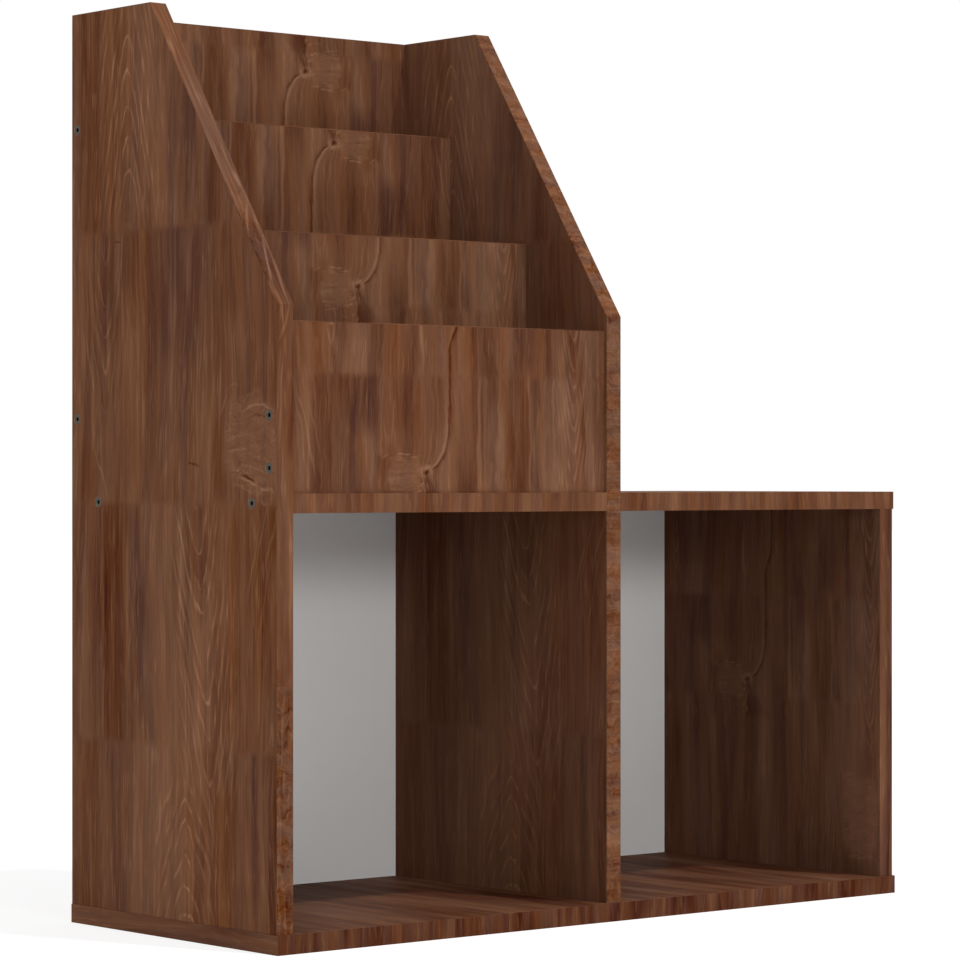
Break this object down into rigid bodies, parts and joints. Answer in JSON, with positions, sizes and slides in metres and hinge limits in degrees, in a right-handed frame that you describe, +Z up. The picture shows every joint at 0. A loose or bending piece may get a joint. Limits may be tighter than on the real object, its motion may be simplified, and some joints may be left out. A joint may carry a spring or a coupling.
{
  "type": "children's book display rack",
  "caption": "Low rack for a child's books: stepped front-facing pockets between two sloping sides, over one open cube, with a second open cube beside it.",
  "frame": {"origin": "on the floor, under the middle of the base panel's footprint", "axes": "+X along the front, from the tall book display towards the low cube; +Y from the front to the back; +Z up"},
  "size_m": [0.8, 0.334, 0.88],
  "materials": {
    "walnut_board": "satin walnut-look melamine on chipboard",
    "walnut_edge_band": "satin walnut-look band, a little lighter than the faces",
    "white_thin_back": "smooth white painted hardboard",
    "screw_steel": "dull zinc-plated steel",
    "dowel_beech": "bare beech"
  },
  "bodies": {
    "root": {"base_panel": "walnut_board", "left_side": "walnut_board", "middle_side": "walnut_board", "right_side": "walnut_board", "cube_top": "walnut_board", "middle_shelf": "walnut_board", "front_board": "walnut_board", "second_board": "walnut_board", "third_board": "walnut_board", "upper_back_board": "walnut_board", "middle_pocket_floor": "walnut_board", "rear_pocket_floor": "walnut_board", "thin_back": "white_thin_back", "base_edge_bands": "walnut_edge_band", "left_side_edge_bands": "walnut_edge_band", "middle_side_edge_bands": "walnut_edge_band", "right_side_edge_band": "walnut_edge_band", "cube_top_edge_bands": "walnut_edge_band", "middle_shelf_edge_band": "walnut_edge_band", "front_board_edge_band": "walnut_edge_band", "second_board_edge_band": "walnut_edge_band", "third_board_edge_band": "walnut_edge_band", "upper_back_edge_band": "walnut_edge_band", "left_side_screws": "screw_steel", "middle_side_screws": "screw_steel", "cube_top_screws": "screw_steel", "base_screws": "screw_steel", "left_display_dowels": "dowel_beech", "right_display_dowels": "dowel_beech", "cube_top_dowels": "dowel_beech", "thin_back_nails": "screw_steel"}
  },
  "joints": []
}
